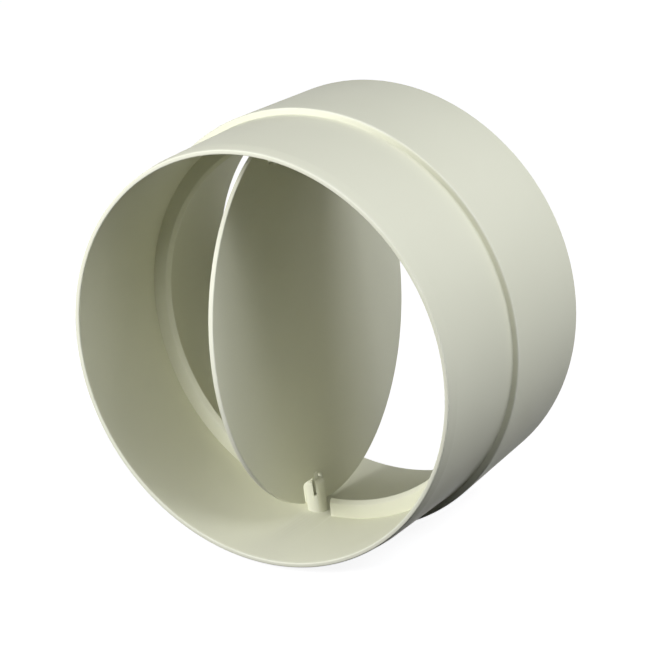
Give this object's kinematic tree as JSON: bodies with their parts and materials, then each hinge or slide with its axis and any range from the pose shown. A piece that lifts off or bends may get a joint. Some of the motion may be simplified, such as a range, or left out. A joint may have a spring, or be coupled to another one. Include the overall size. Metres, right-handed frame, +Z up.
{
  "type": "duct backdraft damper",
  "caption": "Moulded round pipe fitting with a stepped spigot, a tapered collar and a round flap on an off-centre upright pivot that lets air through one way.",
  "frame": {"origin": "on the duct axis, at the end of the front spigot's straight wall, where the step starts", "axes": "+Y along the duct the way the air flows, -Y out of the front spigot, +Z up along the flap's pivot, +X to the right seen from the front"},
  "size_m": [0.1024, 0.0914, 0.1024],
  "materials": {
    "duct_plastic": "satin moulded, cream white",
    "flap_plastic": "satin moulded, cream white"
  },
  "bodies": {
    "housing": {"duct_body": "duct_plastic"},
    "flap": {"flap": "flap_plastic"}
  },
  "joints": [
    {"name": "flap_pivot", "type": "hinge", "parent": "housing", "child": "flap", "pos_m": [-0.0085, 0.00135, 0], "axis": [0, 0, 1], "range_deg": [-93.3, 20]}
  ]
}
